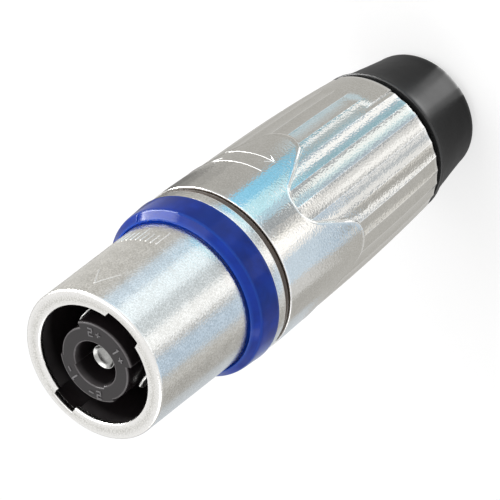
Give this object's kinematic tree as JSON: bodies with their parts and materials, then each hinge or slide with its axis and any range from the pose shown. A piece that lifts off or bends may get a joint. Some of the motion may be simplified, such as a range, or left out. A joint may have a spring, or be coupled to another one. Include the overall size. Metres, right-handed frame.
{
  "type": "speaker cable connector",
  "caption": "Locking inline socket for speaker cable with a plated barrel, coloured marking ring, fluted screw-on grip with inner cable chuck, and rubber boot.",
  "frame": {"origin": "on the axis of the barrel, in the plane of the boot's cable end that the part stands on", "axes": "+Z along the barrel towards the mating face, -Y through the middle of the broad keyway, +X at right angles to both"},
  "size_m": [0.0298, 0.0298, 0.0903],
  "materials": {
    "plated_metal": "satin nickel plating on a fine cast surface",
    "ring_plastic": "glossy dark blue",
    "insert_plastic": "matt black moulding",
    "block_plastic": "matt dark grey moulding",
    "chuck_plastic": "matt light moulding",
    "seal_rubber": "matt",
    "boot_rubber": "matt with a soft sheen",
    "contact_metal": "silver plated",
    "clamp_brass": "bright",
    "steel": "plated"
  },
  "bodies": {
    "housing": {"front_shell": "plated_metal", "marking_ring": "ring_plastic", "neck_seal": "seal_rubber", "contact_insert": "insert_plastic", "insert_seal": "seal_rubber", "terminal_block": "block_plastic", "centre_rivet": "steel", "contact_1p": "contact_metal", "contact_1n": "contact_metal", "contact_2p": "contact_metal", "contact_2n": "contact_metal", "clamp_1p": "clamp_brass", "clamp_1n": "clamp_brass", "clamp_2p": "clamp_brass", "clamp_2n": "clamp_brass", "screw_1p": "steel", "screw_1n": "steel", "screw_2p": "steel", "screw_2n": "steel"},
    "chuck": {"cable_chuck": "chuck_plastic", "gland_seal": "seal_rubber"},
    "grip": {"grip_shell": "plated_metal", "boot": "boot_rubber", "boot_clip": "steel"}
  },
  "joints": [
    {"name": "chuck_slide", "type": "slide", "parent": "housing", "child": "chuck", "axis": [0, 0, -1], "range_m": [0, 0.0045]},
    {"name": "grip_turn", "type": "hinge", "parent": "chuck", "child": "grip", "pos_m": [0, 0, 0.03], "axis": [0, 0, -1], "range_deg": [0, 1080]}
  ],
  "couplings": [
    {"joint": "chuck_slide", "follows": "grip_turn", "m_per_rad": 0.00023873}
  ]
}
